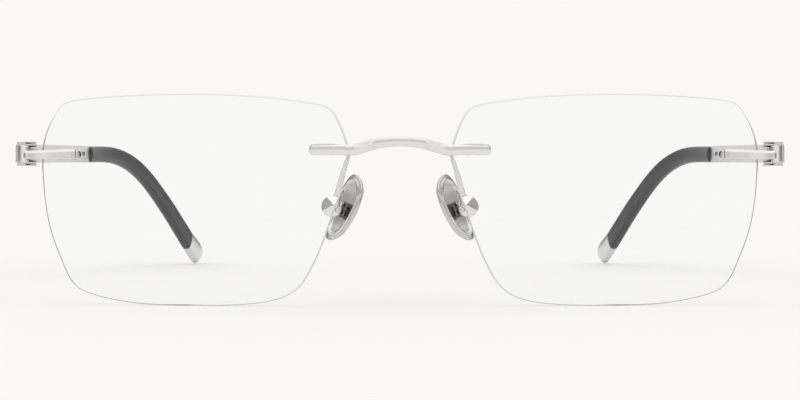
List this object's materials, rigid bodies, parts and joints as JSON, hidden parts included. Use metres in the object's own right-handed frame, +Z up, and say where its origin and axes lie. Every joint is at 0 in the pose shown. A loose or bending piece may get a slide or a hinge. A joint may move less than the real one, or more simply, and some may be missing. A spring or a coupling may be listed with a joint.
{
  "type": "rimless eyeglasses",
  "caption": "Rimless eyeglasses: clear soft-rectangular lenses clamped to an arched bridge and to hinged metal temples, with dark sleeved, metal-tipped ends and adjustable nose pads.",
  "frame": {"origin": "on the table under the middle of the bounding box", "axes": "+Z up, the lenses face -Y, the temples run to +Y, +X is the wearer's left"},
  "size_m": [0.1382, 0.1442, 0.0379],
  "materials": {
    "frame_metal": "satin polished silver-grey metal",
    "pad_metal": "polished silver metal",
    "hardware_steel": "polished small hardware",
    "lens_clear": "clear optical plastic, polished faces, ground edge",
    "bushing_nylon": "translucent nylon",
    "washer_nylon": "black nylon",
    "sleeve_plastic": "satin dark grey acetate"
  },
  "bodies": {
    "front": {"bridge": "frame_metal", "lens_left": "lens_clear", "bridge_clamp_plate_left": "frame_metal", "bridge_bushing_inner_left": "bushing_nylon", "bridge_nut_inner_left": "hardware_steel", "bridge_bushing_outer_left": "bushing_nylon", "bridge_nut_outer_left": "hardware_steel", "endpiece_clamp_plate_left": "frame_metal", "endpiece_bushing_inner_left": "bushing_nylon", "endpiece_nut_inner_left": "hardware_steel", "endpiece_bushing_outer_left": "bushing_nylon", "endpiece_nut_outer_left": "hardware_steel", "endpiece_left": "frame_metal", "hinge_screw_left": "hardware_steel", "hinge_washer_upper_left": "washer_nylon", "hinge_washer_lower_left": "washer_nylon", "pad_arm_left": "frame_metal", "pad_box_left": "pad_metal", "pad_screw_left": "hardware_steel", "lens_right": "lens_clear", "bridge_clamp_plate_right": "frame_metal", "bridge_bushing_inner_right": "bushing_nylon", "bridge_nut_inner_right": "hardware_steel", "bridge_bushing_outer_right": "bushing_nylon", "bridge_nut_outer_right": "hardware_steel", "endpiece_clamp_plate_right": "frame_metal", "endpiece_bushing_inner_right": "bushing_nylon", "endpiece_nut_inner_right": "hardware_steel", "endpiece_bushing_outer_right": "bushing_nylon", "endpiece_nut_outer_right": "hardware_steel", "endpiece_right": "frame_metal", "hinge_screw_right": "hardware_steel", "hinge_washer_upper_right": "washer_nylon", "hinge_washer_lower_right": "washer_nylon", "pad_arm_right": "frame_metal", "pad_box_right": "pad_metal", "pad_screw_right": "hardware_steel"},
    "temple_left": {"temple_bar_left": "frame_metal", "temple_sleeve_left": "sleeve_plastic", "temple_tip_cap_left": "frame_metal"},
    "temple_right": {"temple_bar_right": "frame_metal", "temple_sleeve_right": "sleeve_plastic", "temple_tip_cap_right": "frame_metal"},
    "pad_left": {"nose_pad_left": "pad_metal"},
    "pad_right": {"nose_pad_right": "pad_metal"}
  },
  "joints": [
    {"name": "temple_left_fold", "type": "hinge", "parent": "front", "child": "temple_left", "pos_m": [0.06737, -0.05736, 0.02717], "axis": [0, 0, 1], "range_deg": [0, 82]},
    {"name": "temple_right_fold", "type": "hinge", "parent": "front", "child": "temple_right", "pos_m": [-0.06737, -0.05736, 0.02717], "axis": [0, 0, -1], "range_deg": [0, 76]},
    {"name": "nose_pad_left_rock", "type": "hinge", "parent": "front", "child": "pad_left", "pos_m": [0.01115, -0.06046, 0.01695], "axis": [0, 1, 0], "range_deg": [-10, 10]},
    {"name": "nose_pad_right_rock", "type": "hinge", "parent": "front", "child": "pad_right", "pos_m": [-0.01115, -0.06046, 0.01695], "axis": [0, -1, 0], "range_deg": [-10, 10]}
  ]
}
